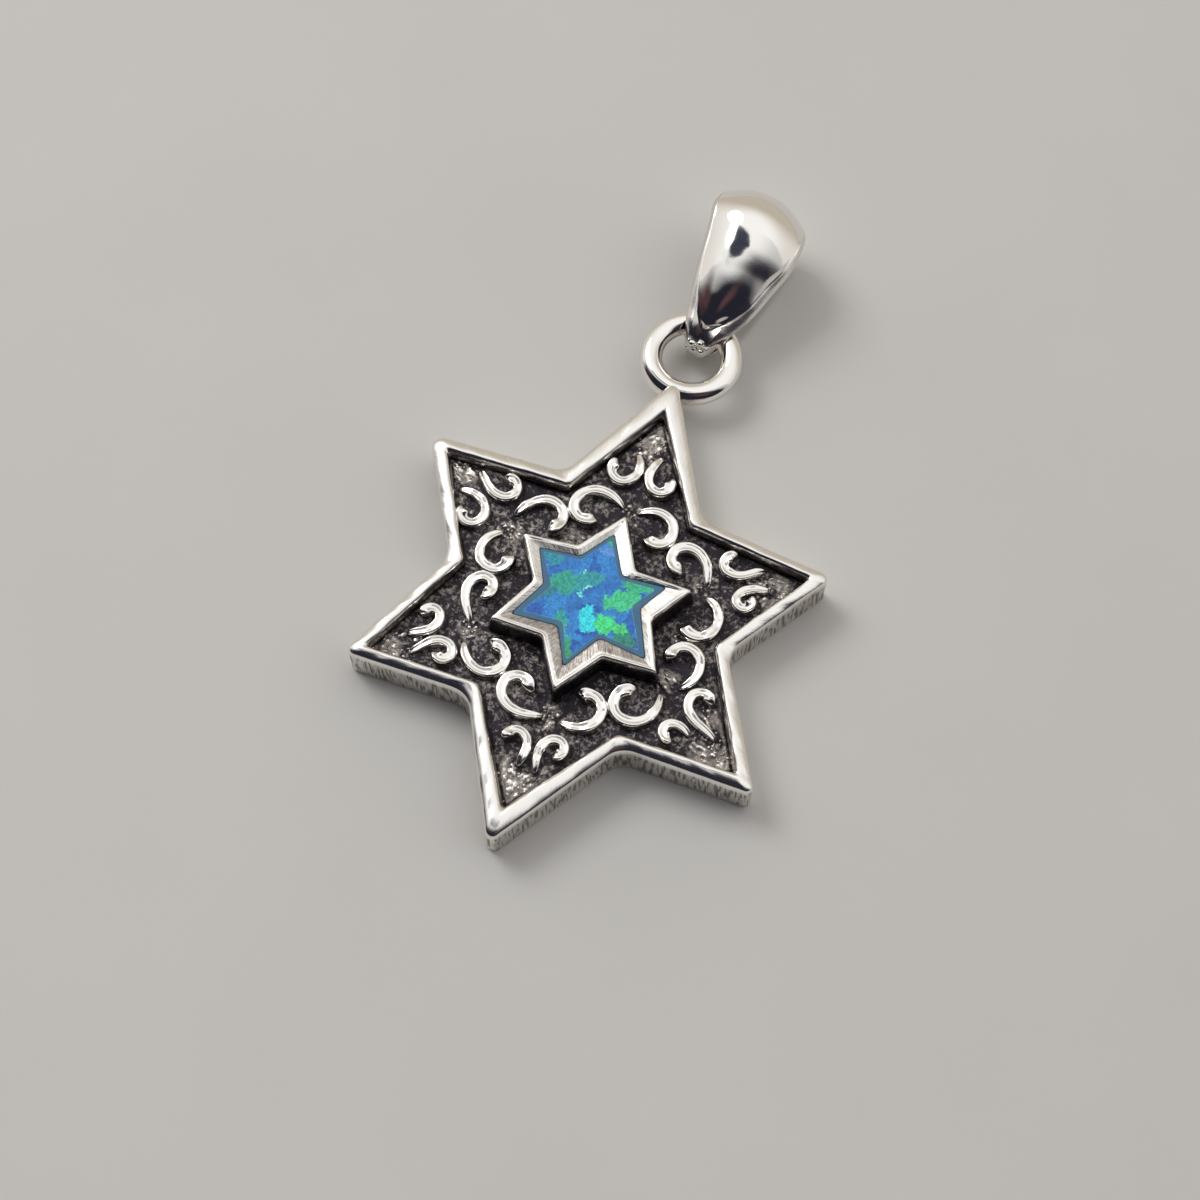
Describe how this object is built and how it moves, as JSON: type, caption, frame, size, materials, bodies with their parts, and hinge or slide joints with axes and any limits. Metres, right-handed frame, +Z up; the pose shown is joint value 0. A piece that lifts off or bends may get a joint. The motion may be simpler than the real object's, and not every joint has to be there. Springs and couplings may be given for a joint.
{
  "type": "star of david pendant",
  "caption": "Cast silver Star of David pendant with raised scrolls, a blue opal star in a raised bezel, a soldered ring and a domed bail for a chain, lying on its back.",
  "frame": {"origin": "middle of the pendant's box on the surface that it lies on, under its flat back", "axes": "+Z up out of the pendant's face, +Y from the bottom point towards the bail, +X to the right across the star"},
  "size_m": [0.018, 0.0316, 0.0046],
  "materials": {
    "silver_cast": "polished rim and scrolls over a blackened field",
    "opal": "polished",
    "silver_bail": "polished"
  },
  "bodies": {
    "root": {"star": "silver_cast", "opal": "opal", "bail": "silver_bail"}
  },
  "joints": []
}
